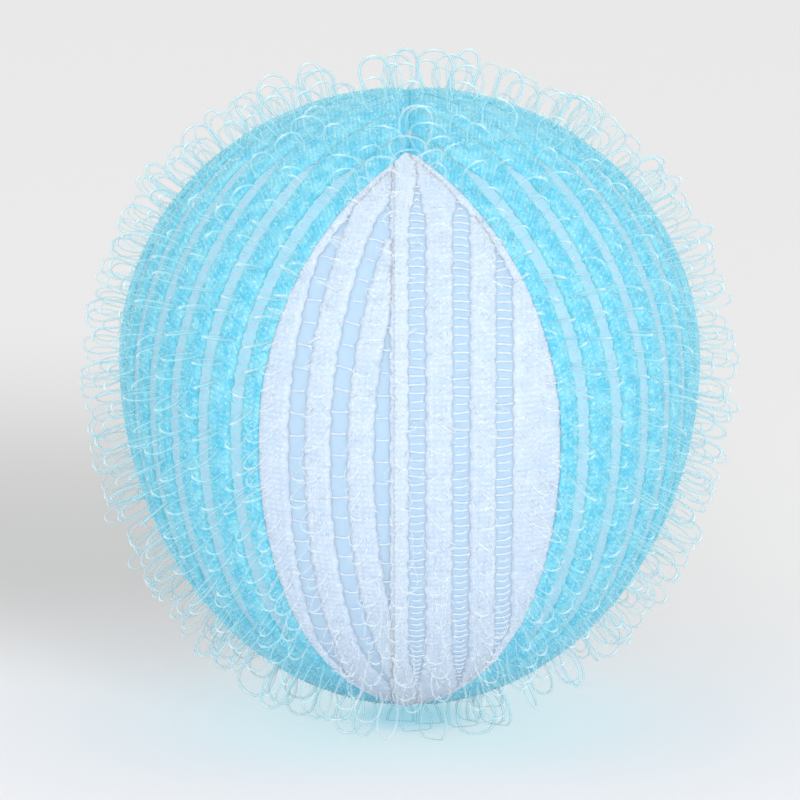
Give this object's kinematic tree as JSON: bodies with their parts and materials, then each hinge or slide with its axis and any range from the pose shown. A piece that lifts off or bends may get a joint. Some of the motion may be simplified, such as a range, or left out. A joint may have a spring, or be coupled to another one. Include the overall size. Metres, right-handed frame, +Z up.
{
  "type": "pet hair laundry ball",
  "caption": "Small egg-shaped washing-machine ball: sponge core in a sewn cover of blue and white ladder tape, set all over with clear nylon loops that catch pet hair and lint.",
  "frame": {"origin": "On the surface that the ball stands on, under its middle.", "axes": "+Z up, along the ball's long axis. -Y is the front, where a white lens of two tapes faces the viewer. +X is to the viewer's right."},
  "size_m": [0.0392, 0.0392, 0.041],
  "materials": {
    "blue_nylon": "satin",
    "white_nylon": "satin",
    "blue_thread": "satin",
    "white_thread": "satin",
    "sponge": "matte",
    "clear_loops": "satin"
  },
  "bodies": {
    "root": {"foam_core": "sponge", "blue_gore_front_left": "blue_nylon", "blue_gore_front_right": "blue_nylon", "blue_gore_back_left": "blue_nylon", "blue_gore_back_right": "blue_nylon", "white_tape_front_left": "white_nylon", "white_tape_front_right": "white_nylon", "white_tape_back_left": "white_nylon", "white_tape_back_right": "white_nylon", "lens_thread_front_left": "blue_thread", "lens_thread_front_right": "blue_thread", "lens_thread_back_left": "blue_thread", "lens_thread_back_right": "blue_thread", "side_thread_left": "blue_thread", "side_thread_right": "blue_thread", "top_thread": "blue_thread", "bottom_thread": "blue_thread", "lap_thread_front": "white_thread", "lap_thread_back": "white_thread"}
  },
  "joints": []
}
